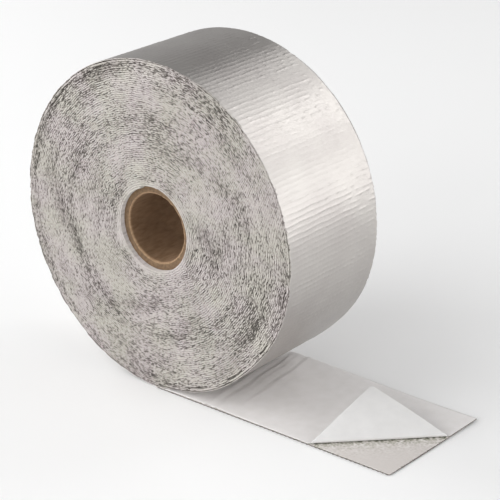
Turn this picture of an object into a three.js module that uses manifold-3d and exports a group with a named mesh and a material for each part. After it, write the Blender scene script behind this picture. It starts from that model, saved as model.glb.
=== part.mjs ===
import * as THREE from 'three';
import { mergeVertices } from 'three/addons/utils/BufferGeometryUtils.js';
import Module from 'manifold-3d';

// Roll of heat shield tape: aluminium foil on woven glass cloth, with adhesive and a release liner,
// wound foil side out on a board core. The roll stands on its rim, and its loose end lies on the floor.
// Millimetres. +X is the way the loose end runs, +Y is the roll's axis, +Z is up. The origin is on
// the floor, under the roll's axis, at the middle of the tape's width.

// Driving dimensions
const tapeWidth = 50;
const tapeThickness = 0.63;
const linerThickness = 0.12;
const rollRadius = 62;

const coreBoreRadius = 12.7;
const coreWall = 3.2;
const coreRecess = 2;
const coreClearance = 0.3;

const tailLength = 103.8;
const tailEndSkew = 1.8;

const turnsPerRing = 5;
const ringStep = 0.8;

const peelLeg = 34.2;
const peelAngle = THREE.MathUtils.degToRad(153.5);
const peelBendRadius = 0.8;
const peelBendSteps = 8;

const linerGap = 0.35;
const wedgeGap = 0.25;
const roundSides = 64;

// Sizes that follow
const turnPitch = tapeThickness + linerThickness;
const coreOuterRadius = coreBoreRadius + coreWall;
const woundBoreRadius = coreOuterRadius + coreClearance;
const innerTurnsRadius = rollRadius - turnPitch;
const halfWidth = tapeWidth / 2;
const halfSide = Math.PI / roundSides;

const foilTape = new THREE.MeshStandardMaterial({ color: 0xa8a3a0, roughness: 0.42, metalness: 0.55 });
const kraftBoard = new THREE.MeshStandardMaterial({ color: 0x8c6e50, roughness: 0.9, metalness: 0 });
const linerPaper = new THREE.MeshStandardMaterial({ color: 0xcdcac8, roughness: 0.6, metalness: 0 });

const wasm = await Module();
wasm.setup();

function toSolid(geometry) {
  const bare = geometry.clone();
  bare.deleteAttribute('normal');
  bare.deleteAttribute('uv');
  const merged = mergeVertices(bare, 1e-4);
  return new wasm.Manifold(new wasm.Mesh({
    numProp: 3,
    vertProperties: new Float32Array(merged.attributes.position.array),
    triVerts: new Uint32Array(merged.index.array),
  }));
}

function toGeometry(solid) {
  const mesh = solid.getMesh();
  const geometry = new THREE.BufferGeometry();
  geometry.setAttribute('position', new THREE.BufferAttribute(new Float32Array(mesh.vertProperties), 3));
  geometry.setIndex(new THREE.BufferAttribute(new Uint32Array(mesh.triVerts), 1));
  geometry.computeVertexNormals();
  return geometry;
}

// A facet's middle, not its corner, lies at the stated radius, so the roll's lowest facet is on the floor.
function corner(radius) {
  return radius / Math.cos(halfSide);
}

// Turns a closed profile of [radius, place along the axis] about the roll's axis.
function turned(profile) {
  const points = profile.map(([radius, along]) => new THREE.Vector2(corner(radius), along));
  points.push(points[0].clone());
  return new THREE.LatheGeometry(points, roundSides, halfSide);
}

// The tape's end runs a little out of square: its back edge is longer than its front edge.
function tailEnd(y) {
  return tailLength + tailEndSkew * y / tapeWidth;
}

// Rings of turns on one end of the roll, from the core outwards: every second ring is flush with the
// tape's edge, and those between stand back by a depth that varies.
function endRings() {
  const span = innerTurnsRadius - woundBoreRadius;
  const count = Math.max(1, Math.round(span / turnPitch / turnsPerRing));
  const rings = [];
  for (let i = 0; i < count; i += 1) {
    const flush = i % 2 === 1;
    const depth = flush ? 0 : ringStep * (0.6 + 0.4 * Math.cos(1.9 * i));
    rings.push({
      inner: woundBoreRadius + span * i / count,
      outer: woundBoreRadius + span * (i + 1) / count,
      along: halfWidth - depth,
    });
  }
  return rings;
}

function innerTurns() {
  const front = endRings().flatMap((ring) => [[ring.inner, -ring.along], [ring.outer, -ring.along]]);
  const back = front.map(([radius, along]) => [radius, -along]).reverse();
  return turned([...front, ...back]);
}

// The outermost turn and the loose end, as one outline seen along the axis. The turn starts at the
// floor, climbs the -X side, shrinks by one turn's pitch on its way round and ends over the loose end.
function outerTurnAndTail() {
  const outline = new THREE.Shape();
  const wedgeX = Math.sqrt(2 * innerTurnsRadius * wedgeGap);
  const wedgeTop = rollRadius - Math.sqrt(innerTurnsRadius ** 2 - wedgeX ** 2);
  outline.moveTo(tailLength, 0);
  for (let i = 0; i < roundSides; i += 1) {
    const angle = halfSide * (2 * i + 1);
    const radius = corner(rollRadius - turnPitch * i / roundSides);
    outline.lineTo(-radius * Math.sin(angle), rollRadius - radius * Math.cos(angle));
  }
  outline.lineTo(wedgeX, wedgeTop);
  outline.lineTo(wedgeX, tapeThickness);
  outline.lineTo(tailLength, tapeThickness);
  outline.closePath();

  const inside = new THREE.Path();
  const insideRadius = corner(innerTurnsRadius - 2 * turnPitch);
  for (let i = 0; i < roundSides; i += 1) {
    const angle = halfSide * (2 * i + 1);
    const x = insideRadius * Math.sin(angle);
    const z = rollRadius - insideRadius * Math.cos(angle);
    if (i === 0) inside.moveTo(x, z);
    else inside.lineTo(x, z);
  }
  inside.closePath();
  outline.holes.push(inside);

  const geometry = new THREE.ExtrudeGeometry(outline, { depth: tapeWidth, bevelEnabled: false });
  geometry.rotateX(Math.PI / 2);
  geometry.translate(0, halfWidth, 0);
  const place = geometry.attributes.position;
  for (let i = 0; i < place.count; i += 1) {
    if (place.getX(i) > tailLength - 1e-3) place.setX(i, tailEnd(place.getY(i)));
  }
  return geometry;
}

function woundTape() {
  const turns = toSolid(innerTurns().translate(0, 0, rollRadius));
  return toGeometry(turns.add(toSolid(outerTurnAndTail())));
}

function cardboardCore() {
  const end = halfWidth - coreRecess;
  return turned([
    [coreBoreRadius, -end],
    [coreOuterRadius, -end],
    [coreOuterRadius, end],
    [coreBoreRadius, end],
  ]).translate(0, 0, rollRadius);
}

// The liner lies on the loose end, and its front corner is peeled back across a slanting fold.
// A point of the flat sheet that lies past the fold is carried round the bend and back over the sheet.
function releaseLiner() {
  const linerStart = Math.sqrt(2 * innerTurnsRadius * linerGap);
  const tip = new THREE.Vector2(tailEnd(-halfWidth), -halfWidth);
  const alongEnd = new THREE.Vector2(tailEndSkew, tapeWidth).normalize();
  const foldFront = new THREE.Vector2(tip.x - peelLeg, tip.y);
  const foldEnd = tip.clone().addScaledVector(alongEnd, peelLeg);
  const foldMiddle = foldFront.clone().add(foldEnd).multiplyScalar(0.5);
  const foldLine = foldEnd.clone().sub(foldFront).normalize();
  const across = new THREE.Vector2(foldLine.y, -foldLine.x);
  const reach = tip.clone().sub(foldMiddle).dot(across);
  const bendLength = peelBendRadius * peelAngle;

  function place(point, lift) {
    const past = Math.max(0, point.clone().sub(foldMiddle).dot(across));
    const turn = Math.min(past, bendLength) / peelBendRadius;
    const straight = Math.max(0, past - bendLength);
    const out = peelBendRadius * Math.sin(turn) + straight * Math.cos(turn) - lift * Math.sin(turn);
    const up = peelBendRadius * (1 - Math.cos(turn)) + straight * Math.sin(turn) + lift * Math.cos(turn);
    const flat = point.clone().addScaledVector(across, out - past);
    return [flat.x, flat.y, tapeThickness + up];
  }

  const sheet = [
    new THREE.Vector2(linerStart, halfWidth),
    new THREE.Vector2(linerStart, -halfWidth),
    foldFront,
  ];
  const farSide = [new THREE.Vector2(tailEnd(halfWidth), halfWidth), foldEnd];
  for (let i = 1; i <= peelBendSteps; i += 1) {
    const share = bendLength * i / peelBendSteps / reach;
    sheet.push(foldFront.clone().lerp(tip, share));
    farSide.push(foldEnd.clone().lerp(tip, share));
  }
  const rim = [...sheet, tip, ...farSide.reverse()];
  const first = 2;
  const last = rim.length - 2;

  // Faces of the sheet: the flat part as a fan, then a strip for each step of the bend, then the tip.
  const faces = [[0, 1, first], [0, first, last], [0, last, last + 1]];
  for (let i = 0; i < peelBendSteps; i += 1) {
    faces.push([first + i, first + i + 1, last - i], [first + i + 1, last - i - 1, last - i]);
  }
  faces.push([first + peelBendSteps, first + peelBendSteps + 1, last - peelBendSteps]);

  const under = rim.map((point) => place(point, 0));
  const over = rim.map((point) => place(point, linerThickness));
  const count = rim.length;
  const index = [];
  for (const [a, b, c] of faces) {
    index.push(a, c, b);
    index.push(count + a, count + b, count + c);
  }
  for (let i = 0; i < count; i += 1) {
    const next = (i + 1) % count;
    index.push(i, next, count + next, i, count + next, count + i);
  }
  const geometry = new THREE.BufferGeometry();
  geometry.setAttribute('position', new THREE.Float32BufferAttribute([...under, ...over].flat(), 3));
  geometry.setIndex(index);
  geometry.computeVertexNormals();
  return geometry;
}

function piece(name, geometry, material) {
  const mesh = new THREE.Mesh(geometry, material);
  mesh.name = name;
  return mesh;
}

const group = new THREE.Group();
group.add(piece('wound_tape', woundTape(), foilTape));
group.add(piece('cardboard_core', cardboardCore(), kraftBoard));
group.add(piece('release_liner', releaseLiner(), linerPaper));

export default group;
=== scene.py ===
import math

import bpy
import numpy as np
from bpy.props import FloatProperty, FloatVectorProperty, IntProperty, PointerProperty
from mathutils import Matrix, Vector


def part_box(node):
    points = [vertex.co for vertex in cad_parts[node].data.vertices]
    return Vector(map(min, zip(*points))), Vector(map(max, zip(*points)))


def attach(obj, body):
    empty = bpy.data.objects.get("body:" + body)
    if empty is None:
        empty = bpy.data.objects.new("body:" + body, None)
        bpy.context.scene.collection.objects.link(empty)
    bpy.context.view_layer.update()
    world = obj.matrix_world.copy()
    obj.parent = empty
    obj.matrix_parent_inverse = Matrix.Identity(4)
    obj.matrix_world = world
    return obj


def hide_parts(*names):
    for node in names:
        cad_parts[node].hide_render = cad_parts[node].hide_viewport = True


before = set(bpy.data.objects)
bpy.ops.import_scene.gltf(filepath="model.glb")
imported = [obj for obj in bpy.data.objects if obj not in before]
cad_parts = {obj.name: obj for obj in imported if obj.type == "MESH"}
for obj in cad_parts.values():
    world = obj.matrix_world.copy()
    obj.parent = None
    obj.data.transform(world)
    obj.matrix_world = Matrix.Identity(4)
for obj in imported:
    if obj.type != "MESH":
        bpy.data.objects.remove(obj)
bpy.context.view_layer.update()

# A roll of aluminium foil heat shield tape: foil on woven glass cloth, wound foil side out on a board
# core, with the loose end laid out and one corner of its release liner peeled back.

bl_info = {
    "name": "Heat Shield Tape Roll",
    "version": (1, 0, 0),
    "blender": (4, 5, 0),
    "location": "View3D > Sidebar > Tape Roll",
    "description": "Builds a roll of foil-faced glass cloth tape with its loose end and peeled liner",
    "category": "Add Mesh",
}

TAPE_LOW, TAPE_HIGH = (np.array(corner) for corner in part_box("wound_tape"))
CORE_LOW, CORE_HIGH = (np.array(corner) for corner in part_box("cardboard_core"))
LINER_LOW, LINER_HIGH = (np.array(corner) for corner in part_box("release_liner"))
AXIS_HEIGHT = float(CORE_LOW[2] + CORE_HIGH[2]) / 2
ROLL_RADIUS = AXIS_HEIGHT - float(TAPE_LOW[2])
HALF_WIDTH = float(TAPE_HIGH[1] - TAPE_LOW[1]) / 2
CORE_RADIUS = float(CORE_HIGH[2] - CORE_LOW[2]) / 2
CORE_HALF = float(CORE_HIGH[1] - CORE_LOW[1]) / 2
TAPE_THICKNESS = float(LINER_LOW[2])
FULL_TURN = 2 * math.pi


class TapeSizes(bpy.types.PropertyGroup):
    """Sizes of the tape and of the roll it is wound in."""

    liner_thickness: FloatProperty(
        name="Liner thickness", description="Thickness of the release paper",
        default=0.00012, unit="LENGTH", subtype="DISTANCE")
    yarn_pitch: FloatProperty(
        name="Yarn pitch", description="Distance from one cross yarn of the glass cloth to the next",
        default=0.00185, unit="LENGTH", subtype="DISTANCE")
    rib_height: FloatProperty(
        name="Rib height", description="How far a cross yarn lifts the foil",
        default=0.00030, unit="LENGTH", subtype="DISTANCE")
    bead_pitch: FloatProperty(
        name="Bead pitch", description="Distance between the beads that the long yarns press in a rib",
        default=0.0021, unit="LENGTH", subtype="DISTANCE")
    end_roughness: FloatProperty(
        name="End roughness", description="How far the cut yarns stand back between their neighbours",
        default=0.00040, unit="LENGTH", subtype="DISTANCE")
    edge_step: FloatProperty(
        name="Edge step", description="Distance between the rows of points along a cut edge",
        default=0.00050, unit="LENGTH", subtype="DISTANCE")
    end_skew: FloatProperty(
        name="End skew", description="How much longer the back edge of the loose end is than the front",
        default=0.0018, unit="LENGTH", subtype="DISTANCE")
    seed: IntProperty(name="Seed", description="Seed of all random draws", default=7)


class LinerSizes(bpy.types.PropertyGroup):
    """Sizes of the peeled corner of the release liner."""

    peel_leg: FloatProperty(
        name="Peel leg", description="Length of each edge of the corner that is peeled back",
        default=0.0342, unit="LENGTH", subtype="DISTANCE")
    bend_radius: FloatProperty(
        name="Bend radius", description="Radius of the bend where the corner turns back",
        default=0.0008, unit="LENGTH", subtype="DISTANCE")
    bend_angle: FloatProperty(
        name="Bend angle", description="How far the corner is turned back at the bend",
        default=math.radians(148.5), unit="ROTATION", subtype="ANGLE")
    relax_angle: FloatProperty(
        name="Relaxed angle", description="How much further the corner curls between the bend and its tip",
        default=math.radians(9), unit="ROTATION", subtype="ANGLE")


class CoreSizes(bpy.types.PropertyGroup):
    """Sizes of the board core."""

    wall: FloatProperty(
        name="Wall", description="Thickness of the core's wall",
        default=0.0032, unit="LENGTH", subtype="DISTANCE")
    lip: FloatProperty(
        name="Lip", description="Width of the worn lip round the bore's end",
        default=0.0006, unit="LENGTH", subtype="DISTANCE")
    ply_step: FloatProperty(
        name="Ply step", description="Height of the step where one turn of the board meets the next",
        default=0.00018, unit="LENGTH", subtype="DISTANCE")
    ply_width: FloatProperty(
        name="Ply width", description="Distance along the core between the joints of its inner ply",
        default=0.028, unit="LENGTH", subtype="DISTANCE")


class StageSettings(bpy.types.PropertyGroup):
    """Camera and light."""

    azimuth: FloatProperty(
        name="Azimuth", description="Direction the camera looks from, 0 along +Y",
        default=math.radians(39.62), unit="ROTATION", subtype="ANGLE")
    elevation: FloatProperty(
        name="Elevation", description="Height of the camera above the floor, as an angle",
        default=math.radians(22.58), unit="ROTATION", subtype="ANGLE")
    roll: FloatProperty(
        name="Roll", description="Turn of the camera about its own axis",
        default=math.radians(-0.65), unit="ROTATION", subtype="ANGLE")
    distance: FloatProperty(
        name="Distance", description="From the camera to the point it aims at",
        default=0.6371, unit="LENGTH", subtype="DISTANCE")
    aim: FloatVectorProperty(
        name="Aim", description="Point in the middle of the picture",
        default=(0.01765, 0.00724, 0.04835), size=3, unit="LENGTH", subtype="XYZ")
    lens: FloatProperty(name="Lens", description="Focal length in millimetres", default=127.3)
    air_light: FloatProperty(
        name="Air light", description="Strength of the even light from all round", default=0.2)


PROPERTY_GROUPS = {
    "tape_roll_tape": TapeSizes,
    "tape_roll_liner": LinerSizes,
    "tape_roll_core": CoreSizes,
    "tape_roll_stage": StageSettings,
}


def colour(hex_value):
    """An sRGB hex colour as linear RGBA."""
    channels = [int(hex_value[i:i + 2], 16) / 255 for i in (1, 3, 5)]
    linear = [c / 12.92 if c <= 0.04045 else ((c + 0.055) / 1.055) ** 2.4 for c in channels]
    return (*linear, 1.0)


def add_node(tree, kind, inputs=None, **settings):
    """Adds one node, sets its properties, and sets or links its inputs."""
    node = tree.nodes.new(kind)
    for name, value in settings.items():
        setattr(node, name, value)
    for name, value in (inputs or {}).items():
        if isinstance(value, bpy.types.NodeSocket):
            tree.links.new(value, node.inputs[name])
        else:
            node.inputs[name].default_value = value
    return node


def new_material(name):
    """An empty node material, with the shader that its finish is set on."""
    material = bpy.data.materials.new(name)
    material.use_nodes = True
    tree = material.node_tree
    tree.nodes.clear()
    shader = add_node(tree, "ShaderNodeBsdfPrincipled")
    add_node(tree, "ShaderNodeOutputMaterial", {"Surface": shader.outputs["BSDF"]})
    return material, tree, shader


def ramp(tree, factor, stops):
    """A colour ramp through the given (place, hex) stops."""
    node = add_node(tree, "ShaderNodeValToRGB", {"Fac": factor})
    elements = node.color_ramp.elements
    while len(elements) < len(stops):
        elements.new(0.5)
    for element, (place, hex_value) in zip(elements, stops):
        element.position = place
        element.color = colour(hex_value)
    return node.outputs["Color"]


def foil_material():
    """Soft aluminium foil laminated to cloth: bright, satin, faintly clouded where it was pressed on."""
    material, tree, shader = new_material("aluminium_foil_laminate")
    place = add_node(tree, "ShaderNodeTexCoord").outputs["Object"]
    cloud = add_node(tree, "ShaderNodeTexNoise", {"Vector": place, "Scale": 60.0, "Detail": 3.0})
    grain = add_node(tree, "ShaderNodeTexNoise", {"Vector": place, "Scale": 1600.0, "Detail": 2.0})
    shader.inputs["Metallic"].default_value = 1.0
    tint = ramp(tree, cloud.outputs["Fac"], [(0.3, "#BAB5B2"), (0.7, "#C3BFBB")])
    tree.links.new(tint, shader.inputs["Base Color"])
    rough = add_node(tree, "ShaderNodeMapRange", {
        "Value": grain.outputs["Fac"], "From Min": 0.3, "From Max": 0.7, "To Min": 0.30, "To Max": 0.42})
    tree.links.new(rough.outputs["Result"], shader.inputs["Roughness"])
    bump = add_node(tree, "ShaderNodeBump", {
        "Height": grain.outputs["Fac"], "Strength": 0.35, "Distance": 0.00006})
    tree.links.new(bump.outputs["Normal"], shader.inputs["Normal"])
    return material


def cut_cloth_material():
    """Cut edge of woven glass cloth: matt, off-white yarn ends with grey gaps between them. The grey, read
    from the attribute "gap", is partly grime and adhesive and partly painted shade in the gaps and joints.
    The fine fibres are 1.2 mm long and 0.25 mm wide and run along the tape, by the piece's own UV in
    metres. The white drifts a little between pink and green from patch to patch, some 13 mm wide."""
    material, tree, shader = new_material("cut_glass_cloth")
    gap = add_node(tree, "ShaderNodeAttribute", attribute_name="gap").outputs["Fac"]
    strip = add_node(tree, "ShaderNodeUVMap", uv_map="along_and_across").outputs["UV"]
    stretch = add_node(tree, "ShaderNodeMapping", {"Vector": strip, "Scale": (830.0, 4000.0, 1.0)})
    fibre = add_node(tree, "ShaderNodeTexNoise", {
        "Vector": stretch.outputs["Vector"], "Scale": 1.0, "Detail": 3.0})
    drift = add_node(tree, "ShaderNodeMath", {
        0: fibre.outputs["Fac"], 1: 0.9, 2: gap}, operation="MULTIPLY_ADD")
    place = add_node(tree, "ShaderNodeTexCoord").outputs["Object"]
    patch = add_node(tree, "ShaderNodeTexNoise", {"Vector": place, "Scale": 75.0, "Detail": 2.0})
    warm = ramp(tree, drift.outputs["Value"], [
        (0.28, "#C2BBB9"), (0.50, "#B5AEAC"), (0.72, "#8E8683"), (1.0, "#57504D")])
    green = ramp(tree, drift.outputs["Value"], [
        (0.28, "#BFBBB4"), (0.50, "#B2AEA6"), (0.72, "#8B867F"), (1.0, "#54514B")])
    share = ramp(tree, patch.outputs["Fac"], [(0.38, "#000000"), (0.62, "#FFFFFF")])
    tint = add_node(tree, "ShaderNodeMixRGB", {"Fac": share, "Color1": warm, "Color2": green})
    tree.links.new(tint.outputs["Color"], shader.inputs["Base Color"])
    shader.inputs["Roughness"].default_value = 0.85
    bump = add_node(tree, "ShaderNodeBump", {
        "Height": fibre.outputs["Fac"], "Strength": 0.6, "Distance": 0.00010})
    tree.links.new(bump.outputs["Normal"], shader.inputs["Normal"])
    return material


def adhesive_material():
    """Clear acrylic adhesive on glass cloth: cream-grey and slightly wet. It is smooth at the end, and
    crinkled next to the fold, where it let go of the paper last. Right at the fold it is darkened to
    olive grey, a painted shadow under the bend. The attribute "gap" says how near."""
    material, tree, shader = new_material("adhesive_on_glass_cloth")
    place = add_node(tree, "ShaderNodeTexCoord").outputs["Object"]
    near = add_node(tree, "ShaderNodeAttribute", attribute_name="gap").outputs["Fac"]
    blotch = add_node(tree, "ShaderNodeTexNoise", {"Vector": place, "Scale": 700.0, "Detail": 4.0})
    string = add_node(tree, "ShaderNodeTexVoronoi", {"Vector": place, "Scale": 1000.0})
    crinkle = add_node(tree, "ShaderNodeMath", {
        0: string.outputs["Distance"], 1: 0.7, 2: blotch.outputs["Fac"]}, operation="MULTIPLY_ADD")
    centred = add_node(tree, "ShaderNodeMath", {0: crinkle.outputs["Value"], 1: 0.78}, operation="SUBTRACT")
    depth = add_node(tree, "ShaderNodeMath", {0: centred.outputs["Value"], 1: near}, operation="MULTIPLY")
    # Painted shadow under the bend: the adhesive darkens sharply right next to the fold.
    painted_fold_shadow = add_node(tree, "ShaderNodeMath", {0: near, 1: 2.6}, operation="POWER")
    shade = add_node(tree, "ShaderNodeMath", {
        0: painted_fold_shadow.outputs["Value"], 1: -0.70, 2: 0.7}, operation="MULTIPLY_ADD")
    level = add_node(tree, "ShaderNodeMath", {
        0: depth.outputs["Value"], 1: 1.3, 2: shade.outputs["Value"]}, operation="MULTIPLY_ADD")
    tint = ramp(tree, level.outputs["Value"], [
        (0.30, "#6E6F60"), (0.55, "#B4B2A6"), (0.7, "#D1CBC7"), (0.9, "#EAE8E4")])
    tree.links.new(tint, shader.inputs["Base Color"])
    shader.inputs["Roughness"].default_value = 0.42
    bump = add_node(tree, "ShaderNodeBump", {
        "Height": level.outputs["Value"], "Strength": 0.8, "Distance": 0.0003})
    tree.links.new(bump.outputs["Normal"], shader.inputs["Normal"])
    return material


def paper_material(name, light, dark, roughness):
    """Release paper: smooth, almost even, with the faint cloud of its pulp."""
    material, tree, shader = new_material(name)
    place = add_node(tree, "ShaderNodeTexCoord").outputs["Object"]
    pulp = add_node(tree, "ShaderNodeTexNoise", {"Vector": place, "Scale": 240.0, "Detail": 5.0})
    tint = ramp(tree, pulp.outputs["Fac"], [(0.3, dark), (0.7, light)])
    tree.links.new(tint, shader.inputs["Base Color"])
    shader.inputs["Roughness"].default_value = roughness
    bump = add_node(tree, "ShaderNodeBump", {
        "Height": pulp.outputs["Fac"], "Strength": 0.15, "Distance": 0.00004})
    tree.links.new(bump.outputs["Normal"], shader.inputs["Normal"])
    return material


def kraft_material(name, light, dark):
    """Brown kraft board, matt, with short fibres that run along the ply."""
    material, tree, shader = new_material(name)
    place = add_node(tree, "ShaderNodeTexCoord").outputs["Object"]
    stretch = add_node(tree, "ShaderNodeMapping", {"Vector": place, "Scale": (1.0, 0.25, 1.0)})
    fibre = add_node(tree, "ShaderNodeTexNoise", {
        "Vector": stretch.outputs["Vector"], "Scale": 900.0, "Detail": 4.0})
    tint = ramp(tree, fibre.outputs["Fac"], [(0.3, dark), (0.7, light)])
    tree.links.new(tint, shader.inputs["Base Color"])
    shader.inputs["Roughness"].default_value = 0.88
    bump = add_node(tree, "ShaderNodeBump", {
        "Height": fibre.outputs["Fac"], "Strength": 0.4, "Distance": 0.00012})
    tree.links.new(bump.outputs["Normal"], shader.inputs["Normal"])
    return material


def add_piece(name, points, faces, materials, face_slots, node, uv=None, gap=None, flat_faces=0):
    """Puts points and quads into a named mesh that stands for a CAD node. Quads with a repeated corner
    become triangles, so a row may close to a point. uv and gap are given for each point. The last
    flat_faces quads are shaded flat, so that a cut edge stays sharp."""
    corners = np.where(faces[:, 3] == faces[:, 2], 3, 4)
    keep = np.ones(faces.shape, dtype=bool)
    keep[:, 3] = corners == 4
    loops = faces[keep]
    mesh = bpy.data.meshes.new(name)
    mesh.vertices.add(len(points))
    mesh.vertices.foreach_set("co", np.asarray(points, dtype=np.float32).ravel())
    mesh.loops.add(len(loops))
    mesh.loops.foreach_set("vertex_index", loops.astype(np.int32))
    mesh.polygons.add(len(faces))
    starts = np.concatenate([[0], np.cumsum(corners)[:-1]]).astype(np.int32)
    mesh.polygons.foreach_set("loop_start", starts)
    for material in materials:
        mesh.materials.append(material)
    mesh.polygons.foreach_set("material_index", face_slots.astype(np.int32))
    mesh.polygons.foreach_set("use_smooth", np.arange(len(faces)) < len(faces) - flat_faces)
    if uv is not None:
        layer = mesh.uv_layers.new(name="along_and_across")
        layer.data.foreach_set("uv", np.asarray(uv, dtype=np.float32)[loops].ravel())
    if gap is not None:
        attribute = mesh.attributes.new("gap", "FLOAT", "POINT")
        attribute.data.foreach_set("value", np.asarray(gap, dtype=np.float32).ravel())
    mesh.update(calc_edges=True)
    mesh.validate()
    piece = bpy.data.objects.new(name, mesh)
    bpy.context.collection.objects.link(piece)
    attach(piece, "root")
    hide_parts(node)
    return piece


def strip_faces(count, around):
    """Quads of a strip of count cross-sections, each a closed loop of around points, with both ends
    closed by rows of quads across the loop. The section's loop runs so that faces point outwards."""
    row = np.arange(count - 1)[:, None] * around
    here = np.arange(around)[None, :]
    there = (here + 1) % around
    sides = np.stack([row + here, row + there, row + around + there, row + around + here], axis=-1)
    half = around // 2
    step = np.arange(half - 1 if around % 2 == 0 else half)
    opposite = around - 1 - step
    first = np.stack([step, opposite, np.maximum(opposite - 1, step + 1), step + 1], axis=-1)
    last = first[:, ::-1] + (count - 1) * around
    return sides.reshape(-1, 4), np.concatenate([ordered_quads(first), ordered_quads(last)])


def ordered_quads(quads):
    """Turns each quad so that a repeated corner comes last, as add_piece expects."""
    for shift in range(4):
        turned = np.roll(quads, shift, axis=1)
        hit = (quads[:, 3] != quads[:, 2]) & (turned[:, 3] == turned[:, 2])
        quads = np.where(hit[:, None], turned, quads)
    return quads


def smooth_step(share):
    """A step from 0 to 1 with level ends: three times the square less twice the cube."""
    return share * share * (3 - 2 * share)


def smooth_noise(generator, places, cell):
    """Random values at every cell's end, joined by a smooth step between them, read at the places."""
    at = places / cell
    low = np.floor(at).astype(int)
    low -= low.min()
    values = generator.random(low.max() + 2)
    share = smooth_step(at - np.floor(at))
    return values[low] * (1 - share) + values[low + 1] * share


def dent(angle):
    """How far the roll is pressed in, by angle from its lowest line: it sags a little where the turns
    above the loose end are slack."""
    return 0.0011 * np.exp(-((np.mod(angle, FULL_TURN) - math.radians(315)) / math.radians(17)) ** 2)


def on_roll(angle, radius, along):
    """A point of the roll: angle from the lowest line, climbing on the -X side, at a radius from the
    axis and a place along it. The dent fades towards the core."""
    share = np.clip((radius - CORE_RADIUS) / (ROLL_RADIUS - CORE_RADIUS), 0, 1) ** 2
    reach = radius - dent(angle) * share
    return np.stack(np.broadcast_arrays(
        -reach * np.sin(angle), along, AXIS_HEIGHT - reach * np.cos(angle)), axis=-1)


def turn_pitch(tape):
    """One turn is as thick as the tape and its liner."""
    return TAPE_THICKNESS + tape.liner_thickness


def spiral_length(turns, pitch):
    """Length of the first turns of an inward spiral from the roll's surface: the first radius times the
    angle, less the pitch times the angle squared over four pi."""
    angle = FULL_TURN * turns
    return (ROLL_RADIUS - pitch / 2) * angle - pitch * angle ** 2 / (4 * math.pi)


def spiral_angle(along, pitch):
    """Angle at a length along that spiral, the smaller root of the formula above."""
    start = ROLL_RADIUS - pitch / 2
    return (start - np.sqrt(start ** 2 - along * pitch / math.pi)) * FULL_TURN / pitch


def slow_waves(seed, angle, radius, lobes, reach):
    """Sum of seven sine waves, mostly between -1 and 1. Each goes round the roll a whole number of
    times, up to lobes, and drifts as the radius grows, by at most one wave over the distance reach."""
    generator = np.random.default_rng(seed)
    around = generator.integers(1, lobes + 1, 7)
    outward = generator.uniform(-1, 1, 7) * FULL_TURN / reach
    start = generator.uniform(0, FULL_TURN, 7)
    waves = np.sin(around * angle[:, None] + outward * radius[:, None] + start)
    return waves.sum(axis=1) / math.sqrt(7)


# Rings of turns that stand further back, with painted shade that makes them darker: share of the roll's
# radius, spread, strength.
RECESSED_SHADED_RINGS = (
    (0.31, 0.030, 0.45),
    (0.56, 0.020, 0.25),
    (0.65, 0.030, 1.00),
    (0.72, 0.020, 0.45),
    (0.80, 0.012, 0.35),
    (0.85, 0.015, 0.60),
    (0.94, 0.025, 1.00),
)


def ring_strength(radius, angle):
    """Sum of a bell curve for each recessed ring, which fades in and out slowly round the roll, less one
    next to the core, plus a narrow wavy one just inside the last turns, which stand off at the upper
    left and the lower right. The sum sets how far those turns stand back and how much painted shade they
    get."""
    total = np.zeros_like(radius)
    for place, spread, strength in RECESSED_SHADED_RINGS:
        fade = 0.7 + 0.3 * np.sin(angle + 40 * place)
        total += strength * fade * np.exp(-((radius / ROLL_RADIUS - place) / spread) ** 2)
    share = radius / ROLL_RADIUS
    total -= 1.1 * np.exp(-((share - 0.262) / 0.020) ** 2)
    slack = np.clip(-1.4 * np.sin(2 * angle), 0, 1) * (0.62 + 0.38 * np.sin(17 * angle))
    wave = 0.0030 * np.sin(9 * angle) + 0.0025 * np.sin(23 * angle + 1)
    return total + 3.2 * slack * np.exp(-((share - 0.962 - wave) / 0.0055) ** 2)


def cut_edge(generator, along, radius, angle, side, lean, tape):
    """Shape of one cut edge: how far each point stands back from the roll's end, and how much of a gap it
    is, from 0 to 1. It has a column for each point across the edge. Smooth noise opens a gap between
    yarn ends wherever it drops below a threshold, which the recessed rings and each column's lean raise.
    The gap value also greys the cloth's colour: partly grime, partly painted shade in the gap."""
    ring = ring_strength(radius, angle)
    slack = slow_waves(tape.seed + 60 + side, angle, radius, 5, 0.018)
    cell = tape.yarn_pitch * 0.42
    noise = np.stack([smooth_noise(generator, along, cell) for column in lean], axis=1)
    open_share = 0.24 + 0.20 * ring + 0.07 * slack
    gap = np.clip((open_share[:, None] + lean[None, :] - noise) * 5.5, 0, 1)
    back = 0.00030 + 0.00016 * slack + 0.00022 * np.minimum(ring, 2.5)
    back = np.maximum(back, 0.00004)[:, None] + tape.end_roughness * gap
    back += 0.00010 * generator.random(gap.shape)
    return back, gap


# Points over one cut edge of a wound turn, from its inside face to its outside face: place across as a
# share of the pitch, how far each falls away into the joint, how readily a gap opens there, and how much
# painted shade it gets where it falls into the joint.
EDGE_ACROSS = np.array([-0.47, -0.24, 0.0, 0.24, 0.47])
EDGE_FALL = np.array([0.00015, 0.00004, 0.0, 0.00003, 0.00013])
EDGE_LEAN = np.array([0.09, 0.02, -0.04, 0.0, 0.07])
EDGE_SHADE = np.array([0.12, 0.02, 0.0, 0.02, 0.09])


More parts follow.
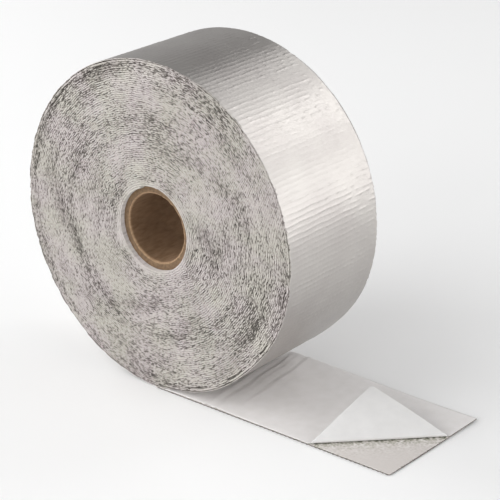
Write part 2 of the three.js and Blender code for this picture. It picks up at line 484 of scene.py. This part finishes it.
def wound_path(first_turn, last_turn, tape):
    """Path of one stretch of the wound strip, an inward spiral: length along it, angle, radius, and a
    small sway in and out, which fades next to the core and next to the last turn."""
    pitch = turn_pitch(tape)
    begin = spiral_length(first_turn, pitch)
    end = spiral_length(last_turn, pitch)
    along = np.linspace(begin, end, int((end - begin) / tape.edge_step) + 1)
    angle = spiral_angle(along, pitch)
    radius = ROLL_RADIUS - pitch / 2 - pitch * angle / FULL_TURN
    off_core = np.clip((radius - CORE_RADIUS) / 0.003, 0, 1)
    off_rim = np.clip((ROLL_RADIUS - radius) / 0.004, 0, 1)
    sway = 0.00016 * (off_core * off_rim) * slow_waves(tape.seed + 50, angle, radius, 46, 0.012)
    return along, angle, radius, sway


def wound_turns(name, first_turn, last_turn, tape, material, seed):
    """One stretch of the wound strip. It follows the spiral path, and its cross-section is a closed
    loop: five points over the front edge, from the inside face to the outside face, and five back over
    the rear edge. Both sides of each edge fall away into the joint. The first turn's inside face, seen
    over the core, has no gaps."""
    generator = np.random.default_rng(seed)
    pitch = turn_pitch(tape)
    along, angle, radius, sway = wound_path(first_turn, last_turn, tape)
    across = EDGE_ACROSS * pitch
    rows = []
    gaps = []
    for side in (-1, 1):
        back, gap = cut_edge(generator, along, radius, angle, side, EDGE_LEAN, tape)
        place = side * (HALF_WIDTH - back - EDGE_FALL[None, :])
        row = on_roll(angle[:, None], (radius + sway)[:, None] + across[None, :], place)
        patch = 0.08 * slow_waves(tape.seed + 70 + side, angle, radius, 9, 0.009)[:, None]
        speckle = 0.22 * (generator.random(gap.shape) - 0.5)
        # Tone of the cut cloth: painted shade in the joint, the gaps' grey (partly grime, partly painted
        # shade), and random patches and speckle.
        tone = np.clip(EDGE_SHADE[None, :] + patch + gap + speckle, 0, 1.2)
        tone[:, 0] *= np.clip((radius - CORE_RADIUS) / pitch - 0.6, 0, 1)
        order = slice(None) if side < 0 else slice(None, None, -1)
        rows.append(row[:, order])
        gaps.append(tone[:, order])
    points = np.concatenate(rows, axis=1)
    sides, caps = strip_faces(len(along), points.shape[1])
    faces = ordered_quads(np.concatenate([sides, caps])[:, ::-1])
    both_edges = np.concatenate([across, across[::-1] + pitch])
    fibre = np.stack(np.broadcast_arrays(along[:, None], both_edges), axis=-1)
    fibre[..., 1] += radius[:, None]
    return add_piece(
        name, points.reshape(-1, 3), faces, [material], np.zeros(len(faces)), "wound_tape",
        uv=fibre.reshape(-1, 2), gap=np.concatenate(gaps, axis=1).ravel())


def rib_places(length, tape):
    """Places along the tape for the rows of the foil: both edges of each crest, both feet of its flanks
    and the middle of the hollow after it."""
    yarn = np.arange(int(length / tape.yarn_pitch) + 1)
    phase = np.array([-0.20, -0.07, 0.07, 0.20, 0.50])
    places = ((yarn[:, None] + phase[None, :]) * tape.yarn_pitch).ravel()
    return np.concatenate([[0.0], places[(places > 0) & (places < length)], [length]])


def rib_relief(generator, along, across, tape):
    """Height of the foil over the cloth, from 0 on the highest crest down to minus the rib height in the
    hollows. A cross yarn lifts the foil in a bell curve along the tape. The long yarns press its crest
    into beads of uneven height, shifted from rib to rib, flatter and more even towards the front edge,
    and each rib bends a little."""
    phase = along / tape.yarn_pitch
    rib = np.round(phase).astype(int)
    count = int(rib.max()) + 1
    bend = 0.05 * np.sin(FULL_TURN * (across / 0.013 + generator.random(count)[rib]))
    group = smooth_noise(generator, np.arange(count) * 1.0, 5.0)
    height = ((0.35 + 0.65 * generator.random(count)) * (0.55 + 0.45 * group))[rib]
    bead_phase = across / tape.bead_pitch + 0.45 * generator.random(count)[rib] + 40
    bead_height = generator.random((count, 80))[rib, np.floor(bead_phase).astype(int)]
    far = np.clip((across + 0.002) / 0.02, 0, 1)
    spread = 0.30 + 0.35 * far
    bead = (0.62 - 0.38 * np.cos(FULL_TURN * bead_phase)) * (1 - 2 * spread * bead_height)
    crest = np.exp(-((phase - rib + bend) / 0.115) ** 2)
    return -tape.rib_height * (1 - crest * bead * height * (0.72 + 0.28 * far))


def outermost_turn(tape, foil, cloth):
    """The last full turn of the tape. Its path is one turn of the inward spiral, and its cross-section
    is a closed loop: many points over the foil face, two down the back edge, four over the inside face
    and two up the front edge."""
    generator = np.random.default_rng(tape.seed + 40)
    pitch = turn_pitch(tape)
    overlap = 0.004
    along = rib_places(spiral_length(1 + overlap, pitch), tape)
    angle = spiral_angle(along, pitch)
    outer = ROLL_RADIUS - pitch * angle / FULL_TURN
    face_columns = 84
    face = np.linspace(-1, 1, face_columns) * HALF_WIDTH
    relief = rib_relief(generator, along[:, None], face[None, :], tape)
    touch = np.clip(along / 0.006, 0, 1)[:, None]
    relief = relief * touch - 0.00001
    lean = np.array([0.05, 0.05])
    front, front_gap = cut_edge(generator, along, outer, angle, -1, lean, tape)
    rear, rear_gap = cut_edge(generator, along, outer, angle, 1, lean, tape)
    ragged = 0.00060 * smooth_noise(generator, along, 0.0023)[:, None] ** 2
    front, rear = 0.8 * front + ragged, 0.6 * rear + 0.3 * ragged
    trimmed = np.clip(face[None, :], -HALF_WIDTH + front[:, :1], HALF_WIDTH - rear[:, :1])
    depths = np.array([0.5, 0.8]) * TAPE_THICKNESS
    level = outer[:, None] - depths[None, :] - 0.00002
    inside = np.array([0.995, 0.33, -0.33, -0.995]) * (HALF_WIDTH - 0.0004)
    rows = [
        on_roll(angle[:, None], outer[:, None] + relief, trimmed),
        on_roll(angle[:, None], level, HALF_WIDTH - rear),
        on_roll(angle[:, None], (outer - TAPE_THICKNESS)[:, None], inside[None, :]),
        on_roll(angle[:, None], level[:, ::-1], front[:, ::-1] - HALF_WIDTH),
    ]
    gaps = [
        np.zeros((len(along), face_columns)),
        0.05 + 0.4 * rear_gap,
        # The inside face gets the darkest tone: painted shade between the turns.
        np.ones((len(along), 4)),
        0.05 + 0.4 * front_gap[:, ::-1],
    ]
    points = np.concatenate(rows, axis=1)
    around = points.shape[1]
    sides, caps = strip_faces(len(along), around)
    one_loop = np.ones(around)
    one_loop[:face_columns - 1] = 0
    faces = np.concatenate([sides[:, ::-1], caps[:, ::-1]])
    face_slots = np.concatenate([np.tile(one_loop, len(along) - 1), np.ones(len(caps))])
    turned = np.concatenate([face, [HALF_WIDTH] * 2, inside, [-HALF_WIDTH] * 2])
    fibre = np.stack(np.broadcast_arrays(along[:, None], turned[None, :]), axis=-1)
    return add_piece(
        "outermost_turn", points.reshape(-1, 3), ordered_quads(faces), [foil, cloth], face_slots,
        "wound_tape", uv=fibre.reshape(-1, 2), gap=np.concatenate(gaps, axis=1).ravel())


def tail_end(y, tape):
    """Where the loose end is cut, by place across the tape: a straight cut a little out of square."""
    return float(TAPE_HIGH[0]) + tape.end_skew * (y / (2 * HALF_WIDTH) - 0.5)


def tail_lift(x, y):
    """How far the loose end is off the floor. Its back edge springs up where it comes out from under
    the roll, and settles towards the end: a smooth step up, then a smooth step down, times the square
    of the place across."""
    across = np.clip((y + HALF_WIDTH) / (2 * HALF_WIDTH), 0, 1)
    rise = np.clip((x - 0.009) / 0.016, 0, 1)
    settle = np.clip((x - 0.030) / 0.060, 0, 1)
    height = 0.0017 - 0.0012 * smooth_step(settle)
    return height * across ** 2 * smooth_step(rise)


def two_sided_sheet(top, bottom):
    """Quads that close two grids of points, rows by columns, into one sheet: the upper grid, the lower
    grid turned over, and a rim between their borders. Returns them with how many belong to each."""
    rows, columns = top.shape[:2]
    index = np.arange(rows * columns).reshape(rows, columns)
    cells = np.stack([index[:-1, :-1], index[1:, :-1], index[1:, 1:], index[:-1, 1:]], axis=-1)
    upper = cells.reshape(-1, 4)
    lower = upper[:, ::-1] + rows * columns
    border = np.concatenate([index[0, :-1], index[:-1, -1], index[-1, :0:-1], index[:0:-1, 0]])
    after = np.roll(border, -1)
    under = rows * columns
    rim = np.stack([border, after, after + under, border + under], axis=-1)
    return upper, lower, rim


def sheet_corners(start, tape):
    """Corners of the loose end seen from above, from a place under the roll to its cut end: back, front,
    then front and back of the cut."""
    return np.array([
        [start, HALF_WIDTH],
        [start, -HALF_WIDTH],
        [tail_end(-HALF_WIDTH, tape), -HALF_WIDTH],
        [tail_end(HALF_WIDTH, tape), HALF_WIDTH],
    ])


def fold_line(corners, liner):
    """Where the corner is folded back: the middle of the fold, its direction, and the direction square
    to it, towards the corner."""
    front, back = corners[2], corners[3]
    along_end = (back - front) / np.linalg.norm(back - front)
    fold_front = front - [liner.peel_leg, 0]
    fold_end = front + along_end * liner.peel_leg
    line = (fold_end - fold_front) / np.linalg.norm(fold_end - fold_front)
    return (fold_front + fold_end) / 2, line, np.array([line[1], -line[0]])


def loose_end(tape, liner, foil, cloth, adhesive):
    """The stretch of tape on the floor: two grids, rows along the tape by columns across it. The upper
    one carries the weave under the adhesive, a product of two cosine waves at the yarn pitch, and the
    lower one the ribs of the foil."""
    generator = np.random.default_rng(tape.seed + 80)
    rows, columns = 210, 100
    v = np.linspace(-1, 1, columns) * HALF_WIDTH
    u = np.linspace(0, 1, rows)
    y = np.broadcast_to(v, (rows, columns))
    x = u[:, None] * tail_end(v, tape)[None, :]
    lift = tail_lift(x, y)
    weave = np.cos(FULL_TURN * x / tape.yarn_pitch) * np.cos(FULL_TURN * y / tape.yarn_pitch)
    middle, _, across = fold_line(sheet_corners(0.0, tape), liner)
    past = (x - middle[0]) * across[0] + (y - middle[1]) * across[1]
    near = np.exp(-np.abs(past) / 0.0045) * (0.6 + 0.4 * generator.random((rows, columns)))
    fray = 0.00005 * generator.random((rows, columns)) + 0.00010 * near * generator.random((rows, columns))
    thickness = TAPE_THICKNESS - 0.00004 + 0.00003 * weave - fray
    hollow = 0.5 - 0.5 * np.cos(FULL_TURN * x / tape.yarn_pitch)
    top = np.stack([x, y, lift + thickness], axis=-1)
    bottom = np.stack([x, y, lift + tape.rib_height * hollow], axis=-1)
    upper, lower, rim = two_sided_sheet(top, bottom)
    faces = np.concatenate([upper, lower, rim])
    slots = np.concatenate([np.zeros(len(upper)), np.ones(len(lower)), np.full(len(rim), 2)])
    points = np.concatenate([top.reshape(-1, 3), bottom.reshape(-1, 3)])
    # For the adhesive, "gap" holds how near the fold is, which drives its crinkle and the painted shadow
    # under the bend.
    gap = np.stack([near, np.ones_like(near)])
    cut = np.ones((rows, columns), dtype=bool)
    cut[1:-1, 1:-1] = False
    gap[:, cut] = 0.30 + 0.40 * generator.random(gap[:, cut].shape)
    return add_piece("loose_end", points, faces, [adhesive, foil, cloth], slots,
                     "wound_tape", uv=points[:, :2], gap=gap.ravel(), flat_faces=len(rim))


def fold_profile(past, liner):
    """Outline of the peeled corner, square to its fold, by length past the fold. The sheet's slope
    grows evenly round the bend, then by the relaxed angle up to the tip, and the outline is the running
    sum of that slope's cosine and sine. Returns distance out, height and slope."""
    reach = float(past.max())
    fine = np.linspace(0, reach, 4001)
    bend = liner.bend_radius * liner.bend_angle
    slope = np.clip(fine / bend, 0, 1) * liner.bend_angle
    slope += np.clip((fine - bend) / (reach - bend), 0, 1) * liner.relax_angle
    step = fine[1] - fine[0]
    out = np.concatenate([[0], np.cumsum(np.cos(slope[:-1]) * step)])
    up = np.concatenate([[0], np.cumsum(np.sin(slope[:-1]) * step)])
    clipped = np.clip(past, 0, reach)
    return (np.interp(clipped, fine, out), np.interp(clipped, fine, up), np.interp(clipped, fine, slope))


RIPPLE_LENGTHS = (0.0023, 0.0037, 0.0059)


def liner_ripple(x, y):
    """Shallow waves that the roll left across the liner: three sine waves of different lengths, a little
    askew, that fade away from the place where the liner comes out from under the roll."""
    askew = x + 0.06 * y + 0.0003 * np.sin(y / 0.0031)
    waves = sum(np.sin(FULL_TURN * askew / length + 1.7 * i) for i, length in enumerate(RIPPLE_LENGTHS))
    return 0.00009 * (3 + waves) * np.exp(-((x - 0.024) / 0.012) ** 2)


def outline_span(corners, places):
    """Where rows parallel to the fold enter and leave the sheet's flat outline. The outline is a loop of
    four corners, each with its place along the fold and its distance past it."""
    low = np.full(len(places), np.inf)
    high = np.full(len(places), -np.inf)
    for (u0, s0), (u1, s1) in zip(corners, np.roll(corners, -1, axis=0)):
        share = np.clip((places - s0) / (s1 - s0), 0, 1)
        inside = (places >= min(s0, s1) - 1e-9) & (places <= max(s0, s1) + 1e-9)
        u = u0 + (u1 - u0) * share
        low = np.where(inside, np.minimum(low, u), low)
        high = np.where(inside, np.maximum(high, u), high)
    return low, high


def peeled_liner(tape, liner, upper_paper, under_paper, shaded_edge_paper):
    """The release liner. Its flat outline is cut by lines parallel to the fold, each row running from
    one border to the other, and the rows past the fold are carried round the bend."""
    corners = sheet_corners(float(LINER_LOW[0]) - 0.003, tape)
    middle, line, across = fold_line(corners, liner)
    local = np.stack([(corners - middle) @ line, (corners - middle) @ across], axis=1)
    reach = local[2, 1]
    bend = liner.bend_radius * liner.bend_angle
    places = np.unique(np.round(np.concatenate([
        np.linspace(local[:, 1].min() + 1e-5, 0, 130),
        local[[1, 3], 1],
        np.linspace(0, bend * 1.1, 20),
        np.linspace(bend * 1.1, reach - 1e-5, 36),
    ]), 7))
    low, high = outline_span(local, places)
    columns = 76
    t = np.linspace(0, 1, columns)
    u = low[:, None] + (high - low)[:, None] * t[None, :]
    s = np.broadcast_to(places[:, None], u.shape)
    out, up, slope = fold_profile(np.maximum(s, 0), liner)
    base = middle + u[..., None] * line + np.minimum(s, 0)[..., None] * across
    rest = TAPE_THICKNESS + tail_lift(base[..., 0], base[..., 1]) + liner_ripple(base[..., 0], base[..., 1])
    grids = []
    for offset in (tape.liner_thickness, 0.0):
        reach_out = np.where(s > 0, out, s) - offset * np.sin(slope)
        flat = middle + u[..., None] * line + reach_out[..., None] * across
        height = rest + up + offset * np.cos(slope)
        grids.append(np.stack([flat[..., 0], flat[..., 1], height], axis=-1))
    upper, lower, rim = two_sided_sheet(grids[0], grids[1])
    faces = np.concatenate([upper, lower, rim])
    slots = np.concatenate([np.zeros(len(upper)), np.ones(len(lower)), np.full(len(rim), 2)])
    points = np.concatenate([grid.reshape(-1, 3) for grid in grids])
    piece = add_piece("peeled_liner", points, faces, [upper_paper, under_paper, shaded_edge_paper], slots,
                      "release_liner", flat_faces=len(rim))
    return piece


def core_profile(core, along_bore):
    """Profile of the core as radii and places along its axis, a closed loop: along_bore points down the
    bore, the worn lip, the front end face, its outer corner, and the same again at the back."""
    lip = core.lip
    inner = CORE_RADIUS - core.wall
    bore = np.linspace(CORE_HALF - lip, -CORE_HALF + lip, along_bore)
    face = inner + np.array([0.25, 0.5, 0.75]) * core.wall
    corner = np.array([CORE_RADIUS - 0.5 * lip, CORE_RADIUS])
    radii = np.concatenate([
        np.full(along_bore, inner), [inner + 0.3 * lip, inner + lip], face, corner,
        corner[::-1], face[::-1], [inner + lip, inner + 0.3 * lip],
    ])
    front = np.full(7, -CORE_HALF)
    front[0] += 0.3 * lip
    front[-1] += 0.5 * lip
    return radii, np.concatenate([bore, front, -front[::-1]])


def board_core(tape, core, wall_board, edge_board, lit_lip_board):
    """The core, a tube whose profile is carried round the axis. The bore has a small step along a
    helix, where the inner ply meets itself, and the end faces are a little uneven."""
    turns = 240
    along_bore = 60
    generator = np.random.default_rng(tape.seed + 120)
    radii, places = core_profile(core, along_bore)
    angle = np.arange(turns) * FULL_TURN / turns
    helix = np.mod(places[None, :] / core.ply_width + angle[:, None] / FULL_TURN, 1)
    on_bore = np.arange(len(radii)) < along_bore
    uneven = generator.random((turns, len(radii)))
    smooth = (uneven + np.roll(uneven, 1, axis=0) + np.roll(uneven, -1, axis=0)) / 3
    radius = radii + np.where(on_bore, core.ply_step * (helix - 0.5), 0.00022 * (smooth - 0.5))
    sunk = np.where(on_bore, 0, 0.00025 * smooth)
    place = np.broadcast_to(places, radius.shape) - np.sign(places) * sunk
    points = np.stack([
        -radius * np.sin(angle)[:, None], place, AXIS_HEIGHT - radius * np.cos(angle)[:, None]], axis=-1)
    around = len(radii)
    row = np.arange(turns)[:, None] * around
    next_row = (np.arange(turns)[:, None] + 1) % turns * around
    here = np.arange(around)[None, :]
    there = (here + 1) % around
    faces = np.stack([row + here, next_row + here, next_row + there, row + there], axis=-1).reshape(-1, 4)
    loop_slots = np.ones(around)
    loop_slots[:along_bore - 1] = 0
    loop_slots[[along_bore - 1, along_bore, -2, -1]] = 2
    return add_piece("board_core", points.reshape(-1, 3), faces, [wall_board, edge_board, lit_lip_board],
                     np.tile(loop_slots, turns), "cardboard_core")


class TAPEROLL_OT_wound_turns(bpy.types.Operator):
    """Winds the turns of the tape that lie under the last one"""
    bl_idname = "tape_roll.wound_turns"
    bl_label = "Wound Turns"

    def execute(self, context):
        tape = context.scene.tape_roll_tape
        material = cut_cloth_material()
        pitch = turn_pitch(tape)
        turns = (ROLL_RADIUS - CORE_RADIUS) / pitch
        marks = (1.0, 0.17 * turns, 0.36 * turns, 0.59 * turns, turns - 0.02)
        for i, name in enumerate(("outer_turns", "second_turns", "middle_turns", "inner_turns")):
            wound_turns(name, marks[i], marks[i + 1], tape, material, tape.seed + i)
        return {"FINISHED"}


class TAPEROLL_OT_outermost_turn(bpy.types.Operator):
    """Wraps the last turn of the tape, with the ribs of the cloth in its foil"""
    bl_idname = "tape_roll.outermost_turn"
    bl_label = "Outermost Turn"

    def execute(self, context):
        outermost_turn(context.scene.tape_roll_tape, foil_material(), cut_cloth_material())
        return {"FINISHED"}


class TAPEROLL_OT_loose_end(bpy.types.Operator):
    """Lays the loose end of the tape on the floor"""
    bl_idname = "tape_roll.loose_end"
    bl_label = "Loose End"

    def execute(self, context):
        scene = context.scene
        loose_end(scene.tape_roll_tape, scene.tape_roll_liner, foil_material(), cut_cloth_material(),
                  adhesive_material())
        return {"FINISHED"}


class TAPEROLL_OT_peeled_liner(bpy.types.Operator):
    """Lays the release liner on the loose end and peels its front corner back"""
    bl_idname = "tape_roll.peeled_liner"
    bl_label = "Peeled Liner"

    def execute(self, context):
        scene = context.scene
        upper_paper = paper_material("release_paper_back", "#EBE8E7", "#E4E1DF", 0.5)
        under_paper = paper_material("release_paper_silicone", "#E2E1E0", "#DCDBDA", 0.4)
        # The rim of the paper is given a darker grey: painted shade on the cut edge, which faces the front
        # lights.
        shaded_edge_paper = paper_material("release_paper_edge_painted_shade", "#B9B5B2", "#ABA7A4", 0.7)
        peeled_liner(scene.tape_roll_tape, scene.tape_roll_liner, upper_paper, under_paper, shaded_edge_paper)
        return {"FINISHED"}


class TAPEROLL_OT_board_core(bpy.types.Operator):
    """Makes the board core with its spiral ply"""
    bl_idname = "tape_roll.board_core"
    bl_label = "Board Core"

    def execute(self, context):
        scene = context.scene
        wall_board = kraft_material("kraft_board_bore", "#93775C", "#7C6146")
        edge_board = kraft_material("kraft_board_cut_edge", "#7C6349", "#5F4C39")
        # The lip round the bore is lighter board: a painted highlight along the bore's rim.
        lit_lip_board = kraft_material("kraft_board_lip_painted_highlight", "#A08467", "#84694E")
        board_core(scene.tape_roll_tape, scene.tape_roll_core, wall_board, edge_board, lit_lip_board)
        return {"FINISHED"}


# Soft boxes: name, width and height, power in watts, place. The ones behind on the right are what the
# foil mirrors, and the ones in front and on the left light the cut ends of the turns.
SOFT_LIGHTS = (
    ("front", (0.8, 0.8), 6.7, (0.15, -1.25, 0.45)),
    ("front_left_low", (0.9, 0.7), 6.2, (-0.80, -0.95, 0.40)),
    ("front_left_high", (1.1, 1.1), 7.8, (-0.55, -0.80, 1.00)),
    ("left", (0.8, 0.8), 6.9, (-1.20, 0.00, 0.60)),
    ("right_low", (0.9, 0.5), 5.0, (1.20, 0.10, 0.35)),
    ("back_right_low", (1.1, 0.6), 3.5, (0.85, 0.90, 0.28)),
    ("back_right_high", (0.35, 0.45), 1.15, (0.53, 0.85, 0.72)),
    ("back_high", (0.35, 0.45), 0.2, (0.29, 0.85, 0.85)),
    ("back", (0.9, 0.6), 2.2, (0.05, 1.10, 0.90)),
    ("back_left", (0.9, 0.6), 0.5, (-0.75, 0.95, 0.45)),
)


def add_light(name, size, power, place, aim):
    """An area light of a width and height at a place, turned to face a point."""
    data = bpy.data.lights.new(name, "AREA")
    data.shape = "RECTANGLE"
    data.size, data.size_y = size
    data.energy = power
    light = bpy.data.objects.new(name, data)
    light.location = place
    turn = np.array(aim, dtype=float) - np.array(place, dtype=float)
    light.rotation_euler = direction_to_euler(turn)
    bpy.context.collection.objects.link(light)
    return light


def direction_to_euler(direction):
    """Angles that turn an object's -Z along a direction, with its Y kept upwards."""
    return Vector(direction).to_track_quat("-Z", "Y").to_euler()


def add_floor():
    """A wide plain pale floor, one flat grid."""
    side = np.linspace(-4, 4, 5)
    x, y = np.meshgrid(side, side, indexing="ij")
    points = np.stack([x, y, np.zeros_like(x)], axis=-1).reshape(-1, 3)
    index = np.arange(25).reshape(5, 5)
    faces = np.stack([index[:-1, :-1], index[1:, :-1], index[1:, 1:], index[:-1, 1:]], axis=-1)
    mesh = bpy.data.meshes.new("studio_floor")
    mesh.from_pydata(points.tolist(), [], faces.reshape(-1, 4).tolist())
    material, tree, shader = new_material("matt_white_floor")
    shader.inputs["Base Color"].default_value = colour("#F6F6F6")
    shader.inputs["Roughness"].default_value = 0.9
    mesh.materials.append(material)
    floor = bpy.data.objects.new("studio_floor", mesh)
    bpy.context.collection.objects.link(floor)


class TAPEROLL_OT_stage(bpy.types.Operator):
    """Sets the camera, the floor and the soft lights"""
    bl_idname = "tape_roll.stage"
    bl_label = "Stage"

    def execute(self, context):
        scene = context.scene
        settings = scene.tape_roll_stage
        aim = np.array(settings.aim)
        a, e = settings.azimuth, settings.elevation
        back = np.array([math.sin(a) * math.cos(e), -math.cos(a) * math.cos(e), math.sin(e)])
        camera_data = bpy.data.cameras.new("photo_camera")
        camera_data.sensor_width = 36.0
        camera_data.lens = settings.lens
        camera = bpy.data.objects.new("photo_camera", camera_data)
        turn = Vector(-back).to_track_quat("-Z", "Y").to_matrix()
        turn = turn @ Matrix.Rotation(settings.roll, 3, "Z")
        camera.matrix_world = Matrix.Translation(aim + settings.distance * back) @ turn.to_4x4()
        context.collection.objects.link(camera)
        scene.camera = camera
        add_floor()
        world = bpy.data.worlds.new("studio_air")
        world.use_nodes = True
        world.node_tree.nodes["Background"].inputs["Color"].default_value = colour("#FFFFFF")
        world.node_tree.nodes["Background"].inputs["Strength"].default_value = settings.air_light
        scene.world = world
        scene.view_settings.view_transform = "Standard"
        for name, size, power, place in SOFT_LIGHTS:
            add_light(name, size, power, place, (0.0, 0.0, AXIS_HEIGHT))
        return {"FINISHED"}


class TAPEROLL_PT_panel(bpy.types.Panel):
    """Buttons and sizes of the tape roll"""
    bl_label = "Tape Roll"
    bl_idname = "TAPEROLL_PT_panel"
    bl_space_type = "VIEW_3D"
    bl_region_type = "UI"
    bl_category = "Tape Roll"

    def draw(self, context):
        for operator in OPERATORS:
            self.layout.operator(operator.bl_idname)
        for group in PROPERTY_GROUPS:
            settings = getattr(context.scene, group)
            box = self.layout.box()
            for name in settings.bl_rna.properties.keys():
                if name not in {"rna_type", "name"}:
                    box.prop(settings, name)


OPERATORS = (
    TAPEROLL_OT_stage,
    TAPEROLL_OT_wound_turns,
    TAPEROLL_OT_outermost_turn,
    TAPEROLL_OT_loose_end,
    TAPEROLL_OT_peeled_liner,
    TAPEROLL_OT_board_core,
)


def register():
    for cls in (*PROPERTY_GROUPS.values(), *OPERATORS, TAPEROLL_PT_panel):
        bpy.utils.register_class(cls)
    for name, group in PROPERTY_GROUPS.items():
        setattr(bpy.types.Scene, name, PointerProperty(type=group))


def unregister():
    for name in PROPERTY_GROUPS:
        delattr(bpy.types.Scene, name)
    for cls in (TAPEROLL_PT_panel, *reversed(OPERATORS), *reversed(tuple(PROPERTY_GROUPS.values()))):
        bpy.utils.unregister_class(cls)


def main():
    register()
    bpy.ops.tape_roll.stage()
    bpy.ops.tape_roll.wound_turns()
    bpy.ops.tape_roll.outermost_turn()
    bpy.ops.tape_roll.loose_end()
    bpy.ops.tape_roll.peeled_liner()
    bpy.ops.tape_roll.board_core()


if __name__ == "__main__":
    main()
